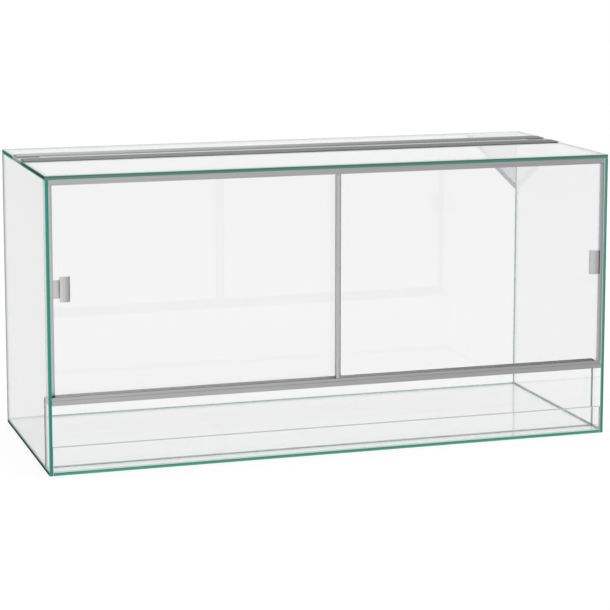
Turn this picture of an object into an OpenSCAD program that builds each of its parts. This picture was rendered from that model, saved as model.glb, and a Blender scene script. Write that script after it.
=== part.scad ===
// Sliding-door glass terrarium: float glass panels bonded with silicone, an
// aluminium door rail with air slots, a double door guide, jamb and stile
// profiles, and a perforated vent strip across the top.
// X runs along the front, Y from front to back, Z up. The origin is the middle
// of the base. All sizes are in millimetres.

/* [Glass tank] */
// Width over the two side panels
tank_w = 1000; // [700:10:1400]
// Depth of the glass box, front to back
tank_d = 400; // [320:10:600]
// Height of the glass box, base to top face
tank_h = 500; // [380:10:800]
// Thickness of the fixed glass panels
glass_t = 6; // [4:0.5:10]
// Thickness of a silicone bond between two panels
bond = 0.3; // [0.2:0.1:1]
// Leg of the silicone fillets inside the tank
seam_leg = 2.5; // [2:0.5:6]
// Ground-off width of the glass panels' sharp edges
arris = 0.5; // [0.3:0.1:1]

/* [Lower front] */
// Height of the door rail's underside above the base
rail_z = 118.5; // [80:0.5:160]
// Height of the low sill strip that stands on the floor
sill_h = 42; // [20:1:60]

/* [Door rail and guide] */
// Wall of the aluminium rail and guide
rail_wall = 1.4; // [1:0.1:2]
// Height of the rail's hollow body
rail_body_h = 8; // [7:0.5:14]
// Height of the lips beside the lower tracks
lip_h = 5.5; // [3:0.5:6.5]
// Step from the rail's front face back to its front lip
lip_step = 1; // [0.5:0.5:3]
// Distance between the two tracks
track_pitch = 15; // [14:0.5:22]
// Width of the slotted deck behind the rear track
vent_land = 5; // [4:0.5:12]
// Width of the air slots in that deck
air_slot_w = 3.6; // [2:0.2:3.8]
// Length of an air slot over its round ends
air_slot_l = 30; // [10:1:32]
// Distance between air slots
air_slot_pitch = 38; // [36:1:60]
// Play of a panel in a clip or groove, each side
clip_play = 0.3; // [0.2:0.1:0.6]
// How far the upper guide's lips reach below its web
guide_lip_h = 8.1; // [7:0.1:14]

/* [Sliding doors] */
// Thickness of the door glass
door_t = 5; // [4:0.5:6]
// Play of a door in its track, each side
door_play = 0.7; // [0.6:0.1:1.2]
// Overlap of the two doors where they meet
door_lap = 12.5; // [10:0.5:30]
// Spare height above the lips when a door is lifted out
lift_spare = 0.3; // [0.2:0.1:0.6]
// How far right of the tank's middle the doors meet
meet_x = 5; // [0:0.5:10]
// Face width of the meeting stile
stile_w = 6; // [5:0.5:10]
// Wall of the meeting stile
stile_wall = 1.2; // [0.8:0.1:1.4]
// Thickness of the glide shoe's sole
glide_sole = 1.2; // [0.8:0.1:2]
// Thickness of the glide shoe's cheeks
glide_cheek = 0.4; // [0.3:0.05:0.5]
// Length of a glide shoe
glide_l = 40; // [20:1:60]
// Running gap between sliding faces
run_gap = 0.2; // [0.1:0.05:0.3]

/* [Jambs] */
// Depth of the jamb profile out from the side panel
jamb_w = 8; // [6:0.5:12]
// Gap between a closed door's edge and the jamb's web
edge_gap = 1.3; // [0.5:0.1:2]
// Depth of the jamb's inner leg, behind the door
jamb_back_w = 4.5; // [3.5:0.5:7]

/* [Handles] */
// Height of the handle's middle above the base
handle_z = 310; // [200:1:340]
// Width of the left handle's base plate
left_plate_w = 27.6; // [16:0.1:40]
// Width of the right handle's base plate, whose hood reaches over the jamb
right_plate_w = 16.7; // [16:0.1:40]
// Height of the base plate
plate_h = 30.5; // [20:0.5:60]
// Thickness of the base plate
plate_t = 1.2; // [0.8:0.1:1.6]
// Width of the finger hood
hood_w = 18; // [14:0.5:20]
// Height of the finger hood
hood_h = 42; // [24:1:80]
// Wall of the finger hood
hood_t = 1.4; // [1:0.1:1.6]
// How far the hood stands out from the door glass
hood_reach = 7.6; // [7:0.1:8]
// Outer radius of the hood's turned-in free edge
hood_lip_r = 2.4; // [1.8:0.1:3]
// Gap between a handle's plate and the jamb when the door is closed
plate_gap = 0.6; // [0.5:0.1:6]
// Glue line under the base plate
glue = 0.2; // [0.1:0.05:0.3]

/* [Top vent] */
// Depth of the front top panel
top_front_d = 215; // [120:1:230]
// Width of the gap between the two top panels
vent_gap = 81; // [60:1:90]
// Wall of the vent channels
vent_wall = 1.4; // [1:0.1:2]
// How far a channel grips its glass panel
vent_grip = 11; // [6:0.5:16]
// How far a channel reaches over the vent strip
vent_shelf = 24; // [12:0.5:28]
// How far the channels stop short of the tank's sides
channel_inset = 4; // [1:0.5:6]
// Gap between channel and glass faces
vent_play = 0.2; // [0.1:0.05:0.4]
// Sheet thickness of the perforated strip
mesh_t = 1.2; // [0.8:0.1:1.6]
// Diameter of the strip's air holes
hole_d = 4; // [3:0.5:7]
// Distance between air holes along the strip
hole_pitch = 9; // [8:0.5:20]
// Distance between the rows of air holes
row_pitch = 7.5; // [7.5:0.5:10]
// Length of the glass bridge at each end of the vent
bridge_l = 42; // [20:1:80]

/* [Cable corner] */
// Leg of the cut-off upper corner of the back panel
corner_leg = 104; // [60:1:140]
// Wall of the edge profile along the cut
edge_wall = 1.4; // [1:0.1:2]
// Width of the edge profile's band on the glass
edge_band = 3; // [3:0.5:10]
// Depth of the groove that holds the cover plate
edge_groove = 2.5; // [2:0.5:8]

/* [Hidden] */
$fn = 48;

// Overshoot of a cutting shape past the face that it cuts
cut = 1;

// Tank planes
side_in = tank_w / 2 - glass_t;
pane_x = side_in - bond;
front_y = -tank_d / 2;
back_y = tank_d / 2;
back_in = back_y - glass_t;
floor_z = glass_t + bond;
lid_z = tank_h - glass_t;
under_lid_z = lid_z - bond;

// Tracks and rail
track_w = door_t + 2 * door_play;
front_track_y = front_y + lip_step + rail_wall + track_w / 2;
rear_track_y = front_track_y + track_pitch;
rear_lip_y = rear_track_y + track_w / 2 + rail_wall;
clip_wall_y = rear_lip_y + vent_land;
strip_y = clip_wall_y + rail_wall + clip_play;
rail_back_y = strip_y + glass_t + clip_play + rail_wall;
track_z = rail_z + rail_body_h;
lip_z = track_z + lip_h;
guide_h = guide_lip_h + rail_wall;
guide_z = under_lid_z - guide_h;

// Doors, given for the right door, which runs in the front track. The left
// door's pieces are its mirror image, made for a meeting line at -meet_x.
door_z0 = track_z + run_gap + glide_sole;
door_z1 = under_lid_z - rail_wall - (lip_h - run_gap) - lift_spare;
stile_play = 0.1;
function stile_x(meet) = meet - door_lap / 2;
function door_x0(meet) = stile_x(meet) + stile_wall + stile_play;
door_x1 = pane_x - rail_wall - edge_gap;
jamb_x = pane_x - jamb_w;
door_face_y = front_track_y - door_t / 2;

// Top vent
vent_y0 = front_y + top_front_d;
vent_y1 = vent_y0 + vent_gap;
web_out = clip_play + vent_wall;
insert_y0 = vent_y0 + web_out + clip_play;
insert_y1 = vent_y1 - web_out - clip_play;
channel_x = pane_x - bond;
bridge_x = tank_w / 2 - bridge_l;

// Where the seams beside the cut-off corner stop, from the tank's inner corner
corner_seam = corner_leg + edge_band * sqrt(2) + bond;

// Extrudes a YZ section along X
module along_x(x0, x1) {
    translate([x0, 0, 0])
        rotate([90, 0, 90])
            linear_extrude(x1 - x0)
                children();
}

// Extrudes an XZ section along Y
module along_y(y0, y1) {
    translate([0, y1, 0])
        rotate([90, 0, 0])
            linear_extrude(y1 - y0)
                children();
}

// Rectangle between two corners
module rect(a0, b0, a1, b1) {
    translate([a0, b0])
        square([a1 - a0, b1 - b0]);
}

// Block between two corners
module block(low, high) {
    translate(low)
        cube(high - low);
}

// Rectangle between two corners, with its own corners cut off by the arris
module ground_rect(a0, b0, a1, b1) {
    polygon([[a0 + arris, b0], [a1 - arris, b0], [a1, b0 + arris], [a1, b1 - arris],
        [a1 - arris, b1], [a0 + arris, b1], [a0, b1 - arris], [a0, b0 + arris]]);
}

// Glass panel between two corners, with an arris ground along all its edges
module pane(low, high) {
    intersection() {
        along_x(low[0], high[0])
            ground_rect(low[1], low[2], high[1], high[2]);
        along_y(low[1], high[1])
            ground_rect(low[0], low[2], high[0], high[2]);
        translate([0, 0, low[2]])
            linear_extrude(high[2] - low[2])
                ground_rect(low[0], low[1], high[0], high[1]);
    }
}

// Silicone fillet in the corner at the section's origin, filling +A and +B
module fillet_section() {
    difference() {
        square(seam_leg);
        translate([seam_leg, seam_leg])
            circle(seam_leg);
    }
}

module floor_panel() {
    color([0.72, 0.88, 0.84, 0.35])
        pane([-pane_x, front_y, 0], [pane_x, back_y, glass_t]);
}

module side_panel() {
    color([0.72, 0.88, 0.84, 0.35])
        pane([side_in, front_y, 0], [tank_w / 2, back_y, under_lid_z]);
}

module left_side_panel() {
    mirror([1, 0, 0])
        side_panel();
}

module right_side_panel() {
    side_panel();
}

// Back panel between the sides, its upper right corner cut off for cables
module back_panel() {
    color([0.72, 0.88, 0.84, 0.35])
        intersection() {
            pane([-pane_x, back_in, floor_z], [pane_x, back_y, under_lid_z]);
            along_y(back_in, back_y)
                polygon([[-pane_x, floor_z], [pane_x, floor_z],
                    [pane_x, lid_z - corner_leg + bond],
                    [side_in - corner_leg + bond, under_lid_z], [-pane_x, under_lid_z]]);
        }
}

module top_front_panel() {
    color([0.72, 0.88, 0.84, 0.35])
        pane([-tank_w / 2, front_y, lid_z], [tank_w / 2, vent_y0, tank_h]);
}

module top_rear_strip() {
    color([0.72, 0.88, 0.84, 0.35])
        pane([-tank_w / 2, vent_y1, lid_z], [tank_w / 2, back_y, tank_h]);
}

module vent_bridge() {
    color([0.72, 0.88, 0.84, 0.35])
        pane([bridge_x, insert_y0, lid_z], [tank_w / 2, insert_y1, tank_h]);
}

module left_vent_bridge() {
    mirror([1, 0, 0])
        vent_bridge();
}

module right_vent_bridge() {
    vent_bridge();
}

// H-shaped channel: grips a top panel on one side, holds the strip on the other.
// The section's A axis starts at the panel's edge and points into the gap.
module channel_section() {
    low = lid_z - vent_play - vent_wall;
    high = tank_h + vent_play;
    rect(clip_play, low, web_out, high + vent_wall);
    rect(-vent_grip, low, vent_shelf, low + vent_wall);
    rect(-vent_grip, high, vent_shelf, high + vent_wall);
}

// Channel across the tank, its lower flange notched over the side panels
module vent_channel() {
    color([0.66, 0.68, 0.69])
        difference() {
            along_x(channel_inset - tank_w / 2, tank_w / 2 - channel_inset)
                channel_section();
            for (side = [0, 1])
                mirror([side, 0, 0])
                    block([channel_x, -vent_grip - cut, 0],
                        [tank_w / 2 + cut, vent_shelf + cut, lid_z]);
        }
}

module front_vent_channel() {
    translate([0, vent_y0, 0])
        vent_channel();
}

module rear_vent_channel() {
    translate([0, vent_y1, 0])
        mirror([0, 1, 0])
            vent_channel();
}

// Perforated sheet with both long edges turned down
module top_vent_strip() {
    strip_x = bridge_x - bond;
    low = lid_z;
    rows = floor((vent_gap - 2 * vent_shelf - hole_d) / row_pitch) + 1;
    columns = floor((2 * strip_x - 3 * hole_d) / hole_pitch);
    color([0.80, 0.81, 0.82])
        difference() {
            along_x(-strip_x, strip_x) {
                rect(insert_y0, tank_h - mesh_t, insert_y1, tank_h);
                rect(insert_y0, low, insert_y0 + mesh_t, tank_h);
                rect(insert_y1 - mesh_t, low, insert_y1, tank_h);
            }
            translate([0, (vent_y0 + vent_y1) / 2, tank_h - mesh_t - cut])
                for (row = [0 : rows - 1], column = [0 : columns - 1])
                    translate([(column - (columns - 1) / 2 + (row % 2 - 0.5) / 2) * hole_pitch,
                        (row - (rows - 1) / 2) * row_pitch, 0])
                        cylinder(d = hole_d, h = mesh_t + 2 * cut);
        }
}

// Lower front panel, set back under the door rail
module lower_front_strip() {
    color([0.72, 0.88, 0.84, 0.35])
        pane([-pane_x, strip_y, floor_z], [pane_x, strip_y + glass_t, track_z - clip_play]);
}

// Low strip that stands on the floor in the front plane
module sill_strip() {
    color([0.72, 0.88, 0.84, 0.35])
        pane([-pane_x, front_y, floor_z], [pane_x, front_y + glass_t, floor_z + sill_h]);
}

// Lip that grows from root_z to a rounded tip at tip_z
module lip(y0, root_z, tip_z) {
    half = rail_wall / 2;
    end_z = tip_z + (root_z < tip_z ? -half : half);
    rect(y0, min(root_z, end_z), y0 + rail_wall, max(root_z, end_z));
    translate([y0 + half, end_z])
        circle(half);
}

// Foremost lip
module front_lip(root_z, tip_z) {
    lip(front_y + lip_step, root_z, tip_z);
}

// The three lips behind it
module inner_lips(root_z, tip_z) {
    for (track = [front_track_y, rear_track_y])
        lip(track + track_w / 2, root_z, tip_z);
    lip(rear_track_y - track_w / 2 - rail_wall, root_z, tip_z);
}

// Hollow ledge with two tracks on top, an air duct and a clip for the strip
module rail_section() {
    duct_wall_y = rear_lip_y - rail_wall;
    middle_y = front_track_y + track_w / 2;
    clip_y = clip_wall_y + rail_wall;
    rect(front_y, rail_z, clip_y, rail_z + rail_wall);
    rect(front_y, track_z - rail_wall, clip_y, track_z);
    for (wall_y = [front_y, middle_y, duct_wall_y, clip_wall_y])
        rect(wall_y, rail_z, wall_y + rail_wall, track_z);
    rect(clip_wall_y, track_z, rail_back_y, track_z + rail_wall);
    rect(rail_back_y - rail_wall, rail_z, rail_back_y, track_z + rail_wall);
    front_lip(track_z, lip_z);
}

// One air slot with round ends, along X
module air_slot() {
    straight = air_slot_l - air_slot_w;
    square([straight, air_slot_w], center = true);
    for (end = [-1, 1])
        translate([end * straight / 2, 0])
            circle(d = air_slot_w);
}

module lower_door_rail() {
    slots = floor((2 * pane_x - air_slot_l) / air_slot_pitch);
    color([0.66, 0.68, 0.69])
        difference() {
            union() {
                along_x(-pane_x, pane_x)
                    rail_section();
                along_x(-jamb_x, jamb_x)
                    inner_lips(track_z, lip_z);
            }
            for (i = [0 : slots - 1])
                translate([(i - (slots - 1) / 2) * air_slot_pitch,
                    rear_lip_y + vent_land / 2, rail_z - cut])
                    linear_extrude(rail_body_h + 2 * cut)
                        air_slot();
        }
}

module upper_door_guide() {
    color([0.66, 0.68, 0.69])
        along_x(-pane_x, pane_x) {
            rect(front_track_y - track_w / 2 - rail_wall, under_lid_z - rail_wall,
                rear_lip_y, under_lid_z);
            front_lip(under_lid_z, guide_z);
            inner_lips(under_lid_z, guide_z);
        }
}

// J-shaped profile that takes a closed door's edge, for the front track
module jamb_profile() {
    color([0.66, 0.68, 0.69])
        translate([0, 0, lip_z + bond])
            linear_extrude(guide_z - lip_z - 2 * bond) {
                rect(pane_x - rail_wall, front_track_y - track_w / 2 - rail_wall,
                    pane_x, front_track_y + track_w / 2 + rail_wall);
                rect(jamb_x, front_track_y - track_w / 2 - rail_wall,
                    pane_x, front_track_y - track_w / 2);
                rect(pane_x - jamb_back_w, front_track_y + track_w / 2,
                    pane_x, front_track_y + track_w / 2 + rail_wall);
            }
}

// Turns a piece of the right door or its jamb into the left one's
module left_hand() {
    mirror([1, 0, 0])
        translate([0, track_pitch, 0])
            children();
}

module right_jamb_profile() {
    jamb_profile();
}

module left_jamb_profile() {
    left_hand()
        jamb_profile();
}

module door_glass(meet) {
    color([0.80, 0.92, 0.89, 0.3])
        pane([door_x0(meet), door_face_y, door_z0], [door_x1, door_face_y + door_t, door_z1]);
}

// U-shaped profile on the door's meeting edge, clear of rail and guide
module door_stile(meet) {
    x0 = stile_x(meet);
    half_in = door_t / 2 + stile_play;
    half_out = half_in + stile_wall;
    color([0.66, 0.68, 0.69])
        translate([0, front_track_y, lip_z + 2 * run_gap])
            linear_extrude(guide_z - lip_z - 4 * run_gap) {
                rect(x0, -half_out, x0 + stile_wall, half_out);
                rect(x0, -half_out, x0 + stile_w, -half_in);
                rect(x0, half_in, x0 + stile_w, half_out);
            }
}

// Quarter of the hood's wall, bent to an outer radius, in the +A, -B corner
module hood_bend(radius) {
    intersection() {
        difference() {
            circle(radius);
            circle(radius - hood_t);
        }
        rect(0, -radius, radius, 0);
    }
}

// Hood's section: it rises from the glass in one bend, runs flat and turns in
// again at its free edge
module hood_section() {
    intersection() {
        union() {
            translate([hood_reach, 0])
                mirror([1, 0])
                    hood_bend(hood_reach);
            rect(hood_reach, -hood_reach, hood_w - hood_lip_r, hood_t - hood_reach);
            translate([hood_w - hood_lip_r, hood_lip_r - hood_reach])
                hood_bend(hood_lip_r);
        }
        rect(0, -hood_reach, hood_w, -glue);
    }
}

// Finger pull: a base plate glued to the glass and a curved hood over it,
// open towards the jamb
module door_handle(plate_w) {
    plate_x1 = jamb_x - plate_gap;
    plate_x0 = plate_x1 - plate_w;
    color([0.70, 0.71, 0.72])
        translate([plate_x0, door_face_y, handle_z]) {
            translate([0, 0, -plate_h / 2])
                linear_extrude(plate_h)
                    rect(0, -glue - plate_t, plate_w, -glue);
            translate([0, 0, -hood_h / 2])
                linear_extrude(hood_h)
                    hood_section();
        }
}

// Plastic shoes on the door's lower edge, one near each end
module door_glides(meet) {
    half_in = door_t / 2;
    half_out = half_in + glide_cheek;
    color([0.12, 0.12, 0.13])
        for (x0 = [door_x0(meet), door_x1 - glide_l])
            along_x(x0, x0 + glide_l)
                translate([front_track_y, door_z0]) {
                    rect(-half_out, -glide_sole, half_out, 0);
                    rect(-half_out, 0, -half_in, lip_h / 2);
                    rect(half_in, 0, half_out, lip_h / 2);
                }
}

module right_door_glass() {
    door_glass(meet_x);
}

module left_door_glass() {
    left_hand()
        door_glass(-meet_x);
}

module right_door_stile() {
    door_stile(meet_x);
}

module left_door_stile() {
    left_hand()
        door_stile(-meet_x);
}

module right_door_handle() {
    door_handle(right_plate_w);
}

module left_door_handle() {
    left_hand()
        door_handle(left_plate_w);
}

module right_door_glides() {
    door_glides(meet_x);
}

module left_door_glides() {
    left_hand()
        door_glides(-meet_x);
}

// Profile along the back panel's cut: a band on the inside of the glass, a web
// beside the cut edge, and a groove that takes the cover plate
module corner_edge_profile() {
    face_y = back_in - bond - edge_wall;
    web = clip_play + edge_wall;
    groove = web + edge_groove;
    color([0.62, 0.64, 0.65])
        intersection() {
            translate([side_in - corner_leg / 2, 0, lid_z - corner_leg / 2])
                rotate([0, -45, 0])
                    linear_extrude(2 * corner_leg, center = true) {
                        rect(-edge_band, face_y, groove, face_y + edge_wall);
                        rect(clip_play, face_y, web, back_y);
                        rect(clip_play, back_y - edge_wall, groove, back_y);
                    }
            block([0, 0, 0], [side_in - bond, tank_d, lid_z - bond]);
        }
}

// Plate that closes the cut-off corner, held in the edge profile's groove
module corner_cover() {
    reach = corner_leg - 2 * bond - (2 * clip_play + edge_wall) * sqrt(2);
    color([0.90, 0.91, 0.92, 0.8])
        translate([side_in - bond, 0, lid_z - bond])
            along_y(back_in, back_y - edge_wall - clip_play)
                polygon([[0, 0], [-reach, 0], [0, -reach]]);
}

// Fillets where the walls meet the floor
module floor_seams() {
    strip_back = strip_y + glass_t;
    color([0.85, 0.87, 0.87, 0.6]) {
        for (side = [0, 1])
            mirror([side, 0, 0])
                along_y(strip_back, back_in)
                    translate([side_in, glass_t])
                        mirror([1, 0])
                            fillet_section();
        along_x(-side_in, side_in)
            translate([strip_back, glass_t])
                fillet_section();
        along_x(-side_in, side_in)
            translate([back_in, glass_t])
                mirror([1, 0])
                    fillet_section();
    }
}

// Fillets in the upright corners
module upright_seams() {
    low = glass_t + seam_leg;
    rear_tops = [lid_z - corner_seam, lid_z - seam_leg];
    color([0.85, 0.87, 0.87, 0.6]) {
        for (side = [0, 1])
            mirror([side, 0, 0]) {
                translate([side_in, strip_y + glass_t, low])
                    linear_extrude(rail_z - low - bond)
                        mirror([1, 0])
                            fillet_section();
                translate([side_in, back_in, low])
                    linear_extrude(rear_tops[side] - low)
                        rotate(180)
                            fillet_section();
            }
    }
}

// Fillets under the top panels
module top_seams() {
    channel_front = vent_y0 - vent_grip - bond;
    channel_back = vent_y1 + vent_grip + bond;
    color([0.85, 0.87, 0.87, 0.6]) {
        for (side = [0, 1])
            mirror([side, 0, 0])
                along_y(rear_lip_y + bond, channel_front)
                    translate([side_in, lid_z])
                        rotate(180)
                            fillet_section();
        mirror([1, 0, 0])
            along_y(channel_back, back_in)
                translate([side_in, lid_z])
                    rotate(180)
                        fillet_section();
        along_x(-side_in, side_in - corner_seam)
            translate([back_in, lid_z])
                rotate(180)
                    fillet_section();
    }
}

floor_panel();
left_side_panel();
right_side_panel();
back_panel();
top_front_panel();
top_rear_strip();
left_vent_bridge();
right_vent_bridge();
front_vent_channel();
rear_vent_channel();
top_vent_strip();
lower_front_strip();
sill_strip();
lower_door_rail();
upper_door_guide();
left_jamb_profile();
right_jamb_profile();
left_door_glass();
left_door_stile();
left_door_handle();
left_door_glides();
right_door_glass();
right_door_stile();
right_door_handle();
right_door_glides();
corner_edge_profile();
corner_cover();
floor_seams();
upright_seams();
top_seams();
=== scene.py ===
import math

import bpy
import numpy as np
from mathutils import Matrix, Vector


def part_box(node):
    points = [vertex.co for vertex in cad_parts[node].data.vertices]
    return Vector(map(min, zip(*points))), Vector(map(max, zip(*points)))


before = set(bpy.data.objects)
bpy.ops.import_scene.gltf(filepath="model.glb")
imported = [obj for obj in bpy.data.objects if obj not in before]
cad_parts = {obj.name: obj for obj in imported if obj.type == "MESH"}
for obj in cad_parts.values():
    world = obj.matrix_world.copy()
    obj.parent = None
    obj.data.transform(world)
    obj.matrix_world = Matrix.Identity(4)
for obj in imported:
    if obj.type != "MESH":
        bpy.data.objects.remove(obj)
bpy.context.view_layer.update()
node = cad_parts
scene = bpy.context.scene
scene.view_settings.view_transform = "Standard"
scene.cycles.transparent_max_bounces = 40


# ---------------------------------------------------------------- camera
# Stands left of the tank's middle at about head height and looks down a
# little. The lens shift stands in for the photograph's upright corners.
EYE = (-1.1598, -3.6881, 0.9524)
TURNED_RIGHT = 17.533  # degrees
TILTED_DOWN = 8.441
SENSOR_WIDTH = 36  # mm
LENS = 129.6
LENS_SHIFT = -0.14
FARTHEST_SEEN = 60

camera = bpy.data.objects.new("camera", bpy.data.cameras.new("camera"))
scene.collection.objects.link(camera)
camera.location = EYE
camera.rotation_euler = (math.radians(90 - TILTED_DOWN), 0, math.radians(-TURNED_RIGHT))
camera.data.sensor_width = SENSOR_WIDTH
camera.data.lens = LENS
camera.data.shift_y = LENS_SHIFT
camera.data.clip_end = FARTHEST_SEEN
scene.camera = camera


# ---------------------------------------------------------------- studio
# A pale matt floor that keeps the tank's shadow, an even white room, one
# large softbox from the upper left and a weaker one from above.
class Wire:
    """A shader socket's output. Sums, products and comparisons add Math nodes."""

    tree = None  # the node tree that is being built

    def __init__(self, socket):
        self.socket = socket

    @classmethod
    def node(cls, kind, settings=None, inputs=None, output=0):
        """Adds one node. settings are its properties, inputs the values or
        wires of its sockets by name or number. Returns the chosen output."""
        made = cls.tree.nodes.new("ShaderNode" + kind)
        for name, value in (settings or {}).items():
            if name == "stops":
                ramp = made.color_ramp
                while len(ramp.elements) < len(value):
                    ramp.elements.new(1.0)
                for element, (position, colour) in zip(ramp.elements, value):
                    element.position, element.color = position, (*colour, 1.0)
            else:
                setattr(made, name, value)
        for name, value in (inputs or {}).items():
            socket = made.inputs[name]
            if isinstance(value, Wire):
                cls.tree.links.new(value.socket, socket)
            elif socket.type == "RGBA" and len(value) == 3:
                socket.default_value = (*value, 1.0)
            else:
                socket.default_value = value
        return Wire(made.outputs[output])

    @classmethod
    def mix(cls, share, first, second, blend="MIX"):
        """A colour between two others, or their product with MULTIPLY."""
        return cls.node("Mix", {"data_type": "RGBA", "blend_type": blend},
                        {0: share, 6: first, 7: second}, 2)

    def math(self, operation, *others):
        values = dict(enumerate((self,) + others))
        return Wire.node("Math", {"operation": operation}, values)

    def axis(self, number):
        return Wire.node("SeparateXYZ", None, {0: self}, number)

    def __add__(self, other):
        return self.math("ADD", other)

    def __mul__(self, other):
        return self.math("MULTIPLY", other)

    def __sub__(self, other):
        return self.math("SUBTRACT", other)

    def __rsub__(self, other):
        return Wire.node("Math", {"operation": "SUBTRACT"}, {0: other, 1: self})

    def __truediv__(self, other):
        return self.math("DIVIDE", other)

    def __lt__(self, other):
        return self.math("LESS_THAN", other)

    def __gt__(self, other):
        return self.math("GREATER_THAN", other)

    __radd__ = __add__
    __rmul__ = __mul__

    def __abs__(self):
        return self.math("ABSOLUTE")

    def __or__(self, other):
        return self.math("MAXIMUM", other)

    def span(self, low, high, start=0.0, end=1.0):
        """start below low, end above high, and a smooth step between them."""
        return Wire.node("MapRange", {"interpolation_type": "SMOOTHSTEP"},
                         {0: self, 1: low, 2: high, 3: start, 4: end})


def finish(name, surface):
    """A material whose surface is what the function surface() returns."""
    material = bpy.data.materials.new(name)
    material.use_nodes = True
    Wire.tree = material.node_tree
    Wire.tree.nodes.clear()
    shader = surface()
    out = Wire.tree.nodes.new("ShaderNodeOutputMaterial")
    Wire.tree.links.new(shader.socket, out.inputs["Surface"])
    return material


def dress(material, *parts):
    """Gives one material to the solids of the named pieces."""
    for part in parts:
        node[part].data.materials.clear()
        node[part].data.materials.append(material)


FLOOR_DROP = 0.0006  # below the tank's base
FLOOR_REACH = 9
FLOOR_MATT = 0.25  # share of the light that the floor scatters, shadows included
ROOM = 0.74  # brightness of the room as a light
corners = [(x * FLOOR_REACH, y * FLOOR_REACH, -FLOOR_DROP)
           for x, y in ((-1, -1), (1, -1), (1, 1), (-1, 1))]
floor_mesh = bpy.data.meshes.new("floor")
floor_mesh.from_pydata(corners, [], [(0, 1, 2, 3)])
floor = bpy.data.objects.new("floor", floor_mesh)
scene.collection.objects.link(floor)


def floor_surface():
    """Scatters a part of the light and glows with the rest, which makes it white."""
    matt = Wire.node("BsdfDiffuse", None, {"Color": (FLOOR_MATT, FLOOR_MATT, FLOOR_MATT)})
    glow = Wire.node("Emission", None, {"Color": (1, 1, 1), "Strength": 1 - FLOOR_MATT * ROOM})
    return Wire.node("AddShader", None, {0: matt, 1: glow})


floor.data.materials.append(finish("floor", floor_surface))

world = bpy.data.worlds.new("room")
world.use_nodes = True
scene.world = world
Wire.tree = world.node_tree
Wire.tree.nodes.clear()
seen = Wire.node("LightPath", output="Is Camera Ray")
mirrored = Wire.node("LightPath", output="Is Glossy Ray")
refracted = Wire.node("LightPath", output="Is Transmission Ray")
strength = (seen | mirrored | refracted) * (1 - ROOM) + ROOM  # white where it is looked at
backdrop = Wire.node("Background", None, {"Color": (1, 1, 1), "Strength": strength})
out = Wire.tree.nodes.new("ShaderNodeOutputWorld")
Wire.tree.links.new(backdrop.socket, out.inputs["Surface"])

LIT_POINT = (0, 0, 0.25)  # the tank's middle
for name, place, size, watts in (("softbox_left", (-2.8, -2.2, 2.4), 1.8, 60),
                                 ("softbox_top", (0.4, 0.2, 3.4), 2.4, 18)):
    lamp = bpy.data.lights.new(name, "AREA")
    lamp.size, lamp.energy = size, watts
    light = bpy.data.objects.new(name, lamp)
    scene.collection.objects.link(light)
    light.location = place
    aim = np.array(LIT_POINT) - np.array(place)
    yaw = math.atan2(aim[0], -aim[1])
    light.rotation_euler = (math.atan2(math.hypot(aim[0], aim[1]), -aim[2]), 0, yaw)


# ---------------------------------------------------------------- floor panel
# Clear float glass, 6 mm, the base that everything stands on. All panels are
# cut from such sheet, their edges ground and polished, their corners broken
# by an arris. The faces are all but invisible, the edges show the green.
CLEAR = (0.933, 0.935, 0.934)  # what a sheet leaves of the light behind it
MIRROR = (0.86, 0.87, 0.87)  # tint of what it mirrors
SIDEWAYS_FRONT = (0.044, 0.075, 0.066)  # edges that look sideways, at the front
SIDEWAYS_BACK = (0.055, 0.190, 0.140)  # and at the back
GROUND = (0.24, 0.50, 0.42)  # arris
DOWNWARD = (0.50, 0.56, 0.54)  # lower edges
FACING = 0.9  # a face looks along an axis when its normal has this much of it


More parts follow.
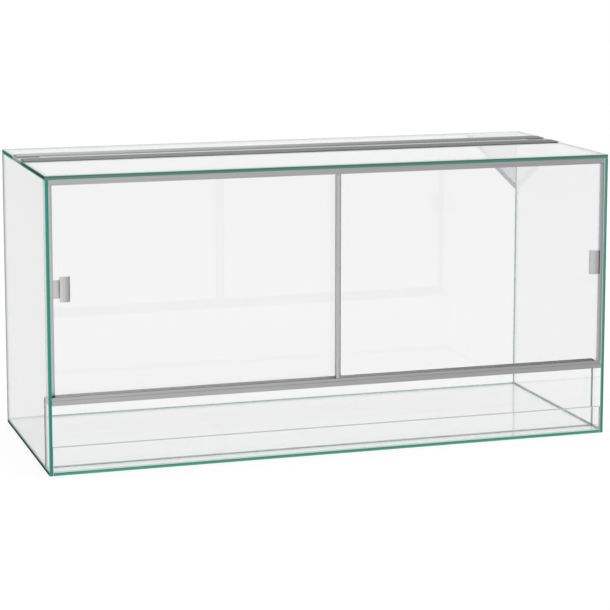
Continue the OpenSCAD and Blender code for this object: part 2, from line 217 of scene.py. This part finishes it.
def glass(part, thin, bright, deep, upward=SIDEWAYS_BACK, arris=GROUND, downward=DOWNWARD,
          through=CLEAR, mirror=MIRROR, bonds=(), gloss=0.15):
    """Glass of one panel, whose thickness lies along the axis thin. bright and
    deep are the greens of its front edges, upward and downward those of its
    upper and lower edge. through is what the sheet leaves of the light behind
    it, mirror what it gives back of the light before it. bonds are boxes, each
    with a colour, inside which its faces are glued and so aren't clear. gloss
    is the specular level of its edges."""
    low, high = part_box(part)

    def surface():
        at = Wire.node("TexCoord", output="Object")
        normal = Wire.node("TexCoord", output="Normal")
        across, along, up = (abs(normal.axis(number)) for number in range(3))
        opaque = abs(normal.axis(thin)) < FACING
        depth = (at.axis(thin) - low[thin]) / (high[thin] - low[thin])
        stretch = [2.0, 2.0, 2.0]
        stretch[thin] = 0.0  # the green drifts along an edge, not through the sheet
        slow = Wire.node("Mapping", None, {"Vector": at, "Scale": stretch})
        drift = Wire.node("TexNoise", None, {"Vector": slow, "Scale": 1.6, "Detail": 2.0})
        fine = Wire.node("TexNoise", None, {"Vector": at, "Scale": 420.0, "Detail": 3.0})
        green = Wire.mix((depth + (drift - 0.5) * 0.9).span(0.35, 0.7), bright, deep)
        sideways = Wire.mix(at.axis(1).span(-0.2, 0.12), SIDEWAYS_FRONT, SIDEWAYS_BACK)
        colour = Wire.mix(across > FACING, green, sideways)
        colour = Wire.mix(normal.axis(2) > FACING, colour, upward)
        colour = Wire.mix(normal.axis(2) < -FACING, colour, downward)
        colour = Wire.mix((across | along | up) < FACING, colour, arris)
        for start, end, bond in bonds:
            inside = opaque < 0.5
            for number in range(3):
                if number != thin:
                    inside = inside * (at.axis(number) > start[number]) * (
                        at.axis(number) < end[number])
            colour = Wire.mix(inside, colour, bond)
            opaque = opaque | inside
        ground = Wire.node("Bump", None, {"Strength": 0.08, "Distance": 0.0004, "Height": fine})
        rim = Wire.node("BsdfPrincipled", None,
                        {"Base Color": colour, "Roughness": fine * 0.25 + 0.15,
                         "IOR": 1.5, "Specular IOR Level": gloss, "Normal": ground})
        sheet = Wire.node("BsdfPrincipled", None,
                          {"Base Color": through, "Roughness": 0.0, "IOR": 1.5,
                           "Specular Tint": mirror, "Transmission Weight": 1.0})
        clear = Wire.node("BsdfTransparent", None,
                          {"Color": [math.sqrt(value) for value in through]})
        lit = (Wire.node("LightPath", output="Is Shadow Ray")
               | Wire.node("LightPath", output="Is Diffuse Ray"))
        body = Wire.node("MixShader", None, {0: opaque, 1: sheet, 2: rim})
        # Light on its way to lamps or matt faces passes the sheet straight.
        return Wire.node("MixShader", None, {0: lit * (1 - opaque), 1: body, 2: clear})

    dress(finish(part + "_glass", surface), part)


# Painted light and shade here: the arris is painted pale, partly its ground finish and partly
# painted light against the shade of the joints around it, and the sheet lets through less than
# CLEAR, a painted shadow of the tank on the floor below.
glass("floor_panel", 2, bright=(0.088, 0.365, 0.258), deep=(0.055, 0.290, 0.200),
      arris=(0.66, 0.86, 0.80), through=(0.888, 0.891, 0.890))


# ---------------------------------------------------------------- side panels
# Float glass like the floor, bonded against its two ends. Their front edges
# are the tank's upright corners. The silicone joints show through the glass:
# the floor's as a dark line, the back panel's and the front strip's as grey.
SIDE_MIRROR = (0.64, 0.65, 0.65)
FOOT_LINE = 0.0056  # top of the floor panel's bond
BEAD_LINE = 0.0080  # top of the silicone bead above it
foot_bond = ((-1, -1, -1), (1, 1, FOOT_LINE), (0.026, 0.062, 0.049))
bead_bond = ((-1, -1, FOOT_LINE), (1, 1, BEAD_LINE), (0.34, 0.44, 0.41))
right_bead_bond = ((-1, -1, FOOT_LINE), (1, 1, BEAD_LINE), (0.70, 0.75, 0.73))
back_bond = (*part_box("back_panel"), (0.22, 0.23, 0.23))
strip_bond = (*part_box("lower_front_strip"), (0.17, 0.20, 0.19))
glass("left_side_panel", 0, bright=(0.058, 0.320, 0.228), deep=(0.034, 0.275, 0.192),
      through=(0.760, 0.765, 0.763), mirror=SIDE_MIRROR,
      bonds=(foot_bond, bead_bond, back_bond, strip_bond), gloss=0.0)
glass("right_side_panel", 0, bright=(0.095, 0.330, 0.245), deep=(0.034, 0.215, 0.145),
      arris=(0.34, 0.58, 0.50), through=(0.900, 0.902, 0.901), mirror=SIDE_MIRROR,
      bonds=(foot_bond, right_bead_bond))


# ---------------------------------------------------------------- back panel
# Float glass that stands on the floor panel between the sides. Its upper
# right corner is sawn off for cables and hoses.
glass("back_panel", 1, bright=(0.066, 0.325, 0.235), deep=(0.034, 0.240, 0.168),
      arris=(0.68, 0.73, 0.71))


# ---------------------------------------------------------------- top panels
# A deep panel over the doors and a narrow one along the back, bonded on the
# sides, and a short piece between them over each side panel.
TOP_CLEAR = (0.850, 0.860, 0.857)
glass("top_front_panel", 2, bright=(0.110, 0.275, 0.220), deep=(0.072, 0.215, 0.165),
      arris=(0.13, 0.30, 0.245), through=TOP_CLEAR, gloss=0.0)
glass("top_rear_strip", 2, bright=(0.110, 0.300, 0.235), deep=(0.070, 0.240, 0.180),
      through=TOP_CLEAR, gloss=0.0)
for part in ("left_vent_bridge", "right_vent_bridge"):
    glass(part, 2, bright=(0.110, 0.300, 0.235), deep=(0.070, 0.240, 0.180),
          through=(0.74, 0.80, 0.78))


# ---------------------------------------------------------------- lower front
# A panel under the door rail, set back, and a low strip in the front plane
# that keeps the substrate in. Both stand on the floor panel.
LOWER_CLEAR = (0.970, 0.972, 0.971)
glass("lower_front_strip", 1, bright=(0.066, 0.325, 0.235), deep=(0.034, 0.240, 0.168),
      arris=(0.30, 0.38, 0.35), downward=(0.22, 0.30, 0.27), through=LOWER_CLEAR)
# Painted light here: the upper edges are painted pale, a painted reflection of the light from
# above, and the arris and lower edges pale, partly their ground finish and partly painted light
# against the shade of the joint on the floor panel.
glass("sill_strip", 1, bright=(0.066, 0.325, 0.235), deep=(0.034, 0.240, 0.168),
      upward=(0.66, 0.70, 0.69), arris=(0.76, 0.84, 0.81), downward=(0.76, 0.88, 0.84),
      through=(0.992, 0.995, 0.994))


# ---------------------------------------------------------------- silicone
# Clear silicone bonds the panels. It was pressed out along the joints and
# drawn off to a hollow fillet with a finger or a spatula.
def silicone_surface():
    """A little gel in front of what is behind it, more where it is lumpy."""
    at = Wire.node("TexCoord", output="Object")
    lumps = Wire.node("TexNoise", None, {"Vector": at, "Scale": 60.0, "Detail": 2.0})
    soft = Wire.node("Bump", None, {"Strength": 0.3, "Distance": 0.001, "Height": lumps})
    gel = Wire.node("BsdfPrincipled", None,
                    {"Base Color": (0.74, 0.78, 0.77), "Roughness": lumps * 0.2 + 0.2,
                     "Normal": soft})
    clear = Wire.node("BsdfTransparent", None, {"Color": (0.95, 0.97, 0.965)})
    return Wire.node("MixShader", None, {0: lumps * 0.3 + 0.15, 1: clear, 2: gel})


dress(finish("clear_silicone", silicone_surface), "floor_seams", "upright_seams", "top_seams")


# ---------------------------------------------------------------- vent channels
# Two H-shaped aluminium channels, pushed over the edges of the top panels.
# They were drawn through a die, so fine lines run along them, and anodised.
LINES_ACROSS = 900.0  # per metre
LINES_ALONG = 4.0


def aluminium(name, along, tone, slant=0.75):
    """Anodised aluminium whose drawn lines run along an axis. tone is its
    colour, or a function of the place and the normal that gives the colour as
    a wire. All of it is painted a little darker to the right: painted shade,
    away from the light.
    slant is the share of the light that it gives back at a low angle."""
    def surface():
        at = Wire.node("TexCoord", output="Object")
        normal = Wire.node("TexCoord", output="Normal")
        stretch = [LINES_ACROSS, LINES_ACROSS, LINES_ACROSS]
        stretch[along] = LINES_ALONG
        drawn = Wire.node("Mapping", None, {"Vector": at, "Scale": stretch})
        lines = Wire.node("TexNoise", None, {"Vector": drawn, "Scale": 1.0, "Detail": 3.0})
        cloud = Wire.node("TexNoise", None, {"Vector": at, "Scale": 14.0, "Detail": 3.0})
        streaks = Wire.mix(lines.span(0.3, 0.7), (0.80, 0.80, 0.80), (1.0, 1.0, 1.0))
        # painted shade: every aluminium part is darker to the right, away from the light
        shade = Wire.mix(at.axis(0).span(-0.6, 0.6), (1.0, 1.0, 1.0), (0.76, 0.76, 0.77))
        colour = Wire.mix(1.0, tone(at, normal) if callable(tone) else tone, streaks, "MULTIPLY")
        colour = Wire.mix(1.0, colour, shade, "MULTIPLY")
        scratched = Wire.node("Bump", None, {"Strength": 0.12, "Distance": 0.0003, "Height": lines})
        return Wire.node("BsdfPrincipled", None,
                         {"Base Color": colour, "Metallic": 1.0,
                          "Specular Tint": (slant, slant, slant),
                          "Roughness": cloud * 0.12 + lines * 0.12 + 0.24,
                          "Normal": scratched})

    return finish(name, surface)


def channel(part, painted_lit_top, painted_shaded_top, edge, slant):
    """Metal of one channel, its light and shade painted into its tone: its top
    runs from a lighter tone at the left end, towards the light, to a darker
    one at the right end, and its other faces have the tone edge, painted
    apart from the top's as the light falls on them."""
    def tone(at, normal):
        top = Wire.mix(at.axis(0).span(-0.5, 0.5), painted_lit_top, painted_shaded_top)
        return Wire.mix(normal.axis(2) > 0.5, edge, top)

    dress(aluminium(part + "_metal", 0, tone, slant), part)


# Painted light and shade: tops lighter at the left end, darker to the right, sides toned apart from
# tops.
channel("front_vent_channel", (0.38, 0.385, 0.385), (0.35, 0.355, 0.355), (0.40, 0.40, 0.41), 0.50)
channel("rear_vent_channel", (0.70, 0.70, 0.705), (0.39, 0.395, 0.395), (0.54, 0.54, 0.55), 0.62)


# ---------------------------------------------------------------- vent strip
# Perforated aluminium sheet, punched flat and then folded down along both
# edges. It lies between the channels and lifts out.
dress(aluminium("punched_sheet", 0, (0.80, 0.815, 0.81), slant=1.0), "top_vent_strip")


# ---------------------------------------------------------------- door rail
# One aluminium extrusion on the lower front panel: a hollow ledge with two
# tracks and a slotted deck. The double guide above hangs under the top panel.
# The tracks' inner faces are painted lighter: painted light against the shade inside them, less of
# it to the right.
RAIL_TONE = (0.480, 0.480, 0.482)
TRACK_PAINTED_LIGHT = (0.68, 0.68, 0.68)
LIP_FRONT = 0.0022  # the tracks begin here, behind the rail's front
LIP_REAR = 0.0254  # and end here
LIP_HEIGHT = 0.0056


def rail_tone(at, normal):
    """A lighter tone painted between the lips as light against the shade in the tracks, weaker to
    the right, and RAIL_TONE elsewhere.
    """
    low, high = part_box("lower_door_rail")
    behind = at.axis(1) > low[1] + LIP_FRONT
    before = at.axis(1) < low[1] + LIP_REAR
    above = at.axis(2) > high[2] - LIP_HEIGHT
    # painted light in the tracks, fading to the right
    wear_and_painted_light = behind * before * above * at.axis(0).span(0.15, 0.45, 1.0, 0.2)
    return Wire.mix(wear_and_painted_light, RAIL_TONE, TRACK_PAINTED_LIGHT)


dress(aluminium("rail_metal", 0, rail_tone), "lower_door_rail")
dress(aluminium("guide_metal", 0, RAIL_TONE), "upper_door_guide")


# ---------------------------------------------------------------- upright profiles
# J-shaped jambs glued to the side panels and U-shaped stiles pushed over the
# doors' meeting edges, cut from drawn lengths of anodised aluminium.
def jamb(part, lit_left_tone, shaded_right_tone):
    """Metal of one jamb, from one tone at its left side to another at its right: painted light at
    the side towards the light, painted shade at the other.
    """
    low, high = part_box(part)

    def tone(at, normal):
        return Wire.mix((at.axis(0) - low[0]) / (high[0] - low[0]), lit_left_tone, shaded_right_tone)

    dress(aluminium(part + "_metal", 2, tone), part)


# Painted light and shade: each jamb is lighter at its left side and darker at its right.
jamb("left_jamb_profile", (0.56, 0.66, 0.64), (0.46, 0.46, 0.46))
jamb("right_jamb_profile", (0.66, 0.66, 0.67), (0.33, 0.32, 0.34))
# The rear stile is painted darker than the front one: painted shade, as it stands behind the front
# door's glass in shadow.
dress(aluminium("rear_stile_shaded_metal", 2, (0.40, 0.40, 0.405)), "left_door_stile")
dress(aluminium("front_stile_metal", 2, (0.590, 0.590, 0.595)), "right_door_stile")


# ---------------------------------------------------------------- door glass
# Two sliding doors of thinner float glass, 5 mm, with polished edges. The
# right one runs in the front track.
for part in ("left_door_glass", "right_door_glass"):
    glass(part, 1, bright=(0.066, 0.325, 0.235), deep=(0.034, 0.240, 0.168),
          through=(0.940, 0.942, 0.941))


# ---------------------------------------------------------------- door handles
# Finger pulls sawn from an aluminium extrusion, brushed upright: a flat foot
# glued to the glass and a hood bent over it. Light falls on them from the
# left, and their tone is painted with it: each is painted darker to its right,
# the left pull has a painted highlight where its hood rises from the foot, the
# right pull a painted shadow along its right edge, and the end faces are
# painted dark.
# Tone painted on the handles' upper and lower end faces: darker than the rest.
DARK_END_FACE = (0.16, 0.16, 0.165)


def pull(part, stops):
    """Metal of one handle, its light and shade painted into its tone. stops are
    its painted tones, each with its place from the handle's left side, 0, to
    its right side, 1."""
    low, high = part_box(part)

    def tone(at, normal):
        reach = (at.axis(0) - low[0]) / (high[0] - low[0])
        swept = Wire.node("ValToRGB", {"stops": stops}, {0: reach})
        return Wire.mix(abs(normal.axis(2)) > 0.5, swept, DARK_END_FACE)

    dress(aluminium(part + "_metal", 2, tone), part)


# The left pull's white stops are a painted highlight where the hood rises from the foot; the right
# pull's near-black stops are a painted shadow at its right edge.
pull("left_door_handle", ((0.0, (0.62, 0.62, 0.61)), (0.33, (0.64, 0.63, 0.63)),
                          (0.345, (1.0, 0.99, 0.99)), (0.37, (1.0, 0.99, 0.99)),
                          (0.40, (0.74, 0.72, 0.72)), (0.93, (0.36, 0.36, 0.36)),
                          (1.0, (0.22, 0.22, 0.22))))
pull("right_door_handle", ((0.0, (0.84, 0.84, 0.84)), (0.25, (0.78, 0.78, 0.78)),
                           (0.82, (0.48, 0.48, 0.48)), (0.875, (0.045, 0.045, 0.047)),
                           (1.0, (0.035, 0.035, 0.037))))


# ---------------------------------------------------------------- glide shoes
# Black low-friction plastic, moulded, pushed over the doors' lower edges. Two
# shoes carry each door in its track, and dust has dulled them.
def glide_surface():
    """Black with a fine grey grain, duller where the grain is greyer."""
    at = Wire.node("TexCoord", output="Object")
    grain = Wire.node("TexNoise", None, {"Vector": at, "Scale": 700.0, "Detail": 3.0})
    wear_and_painted_light = Wire.mix(grain, (0.012, 0.012, 0.014), (0.034, 0.034, 0.036))
    return Wire.node("BsdfPrincipled", None,
                     {"Base Color": wear_and_painted_light, "Roughness": grain * 0.3 + 0.35})


dress(finish("glide_plastic", glide_surface), "left_door_glides", "right_door_glides")


# ---------------------------------------------------------------- cable corner
# An aluminium profile glued along the back panel's sawn corner, and the
# frosted plastic plate that it holds. The plate is cut where cables pass.
def frosted_surface():
    """A milky sheet that lets through what is behind it, cloudy in places."""
    at = Wire.node("TexCoord", output="Object")
    haze = Wire.node("TexNoise", None, {"Vector": at, "Scale": 90.0, "Detail": 4.0})
    milk = Wire.mix(haze, (0.78, 0.79, 0.79), (0.90, 0.90, 0.90))
    sheet = Wire.node("BsdfPrincipled", None,
                      {"Base Color": milk, "Roughness": haze * 0.3 + 0.25})
    clear = Wire.node("BsdfTransparent", None, {"Color": (0.95, 0.955, 0.955)})
    return Wire.node("MixShader", None, {0: haze * 0.3 + 0.26, 1: clear, 2: sheet})


dress(aluminium("corner_metal", 0, (0.86, 0.86, 0.87), slant=1.0), "corner_edge_profile")
dress(finish("frosted_plate", frosted_surface), "corner_cover")
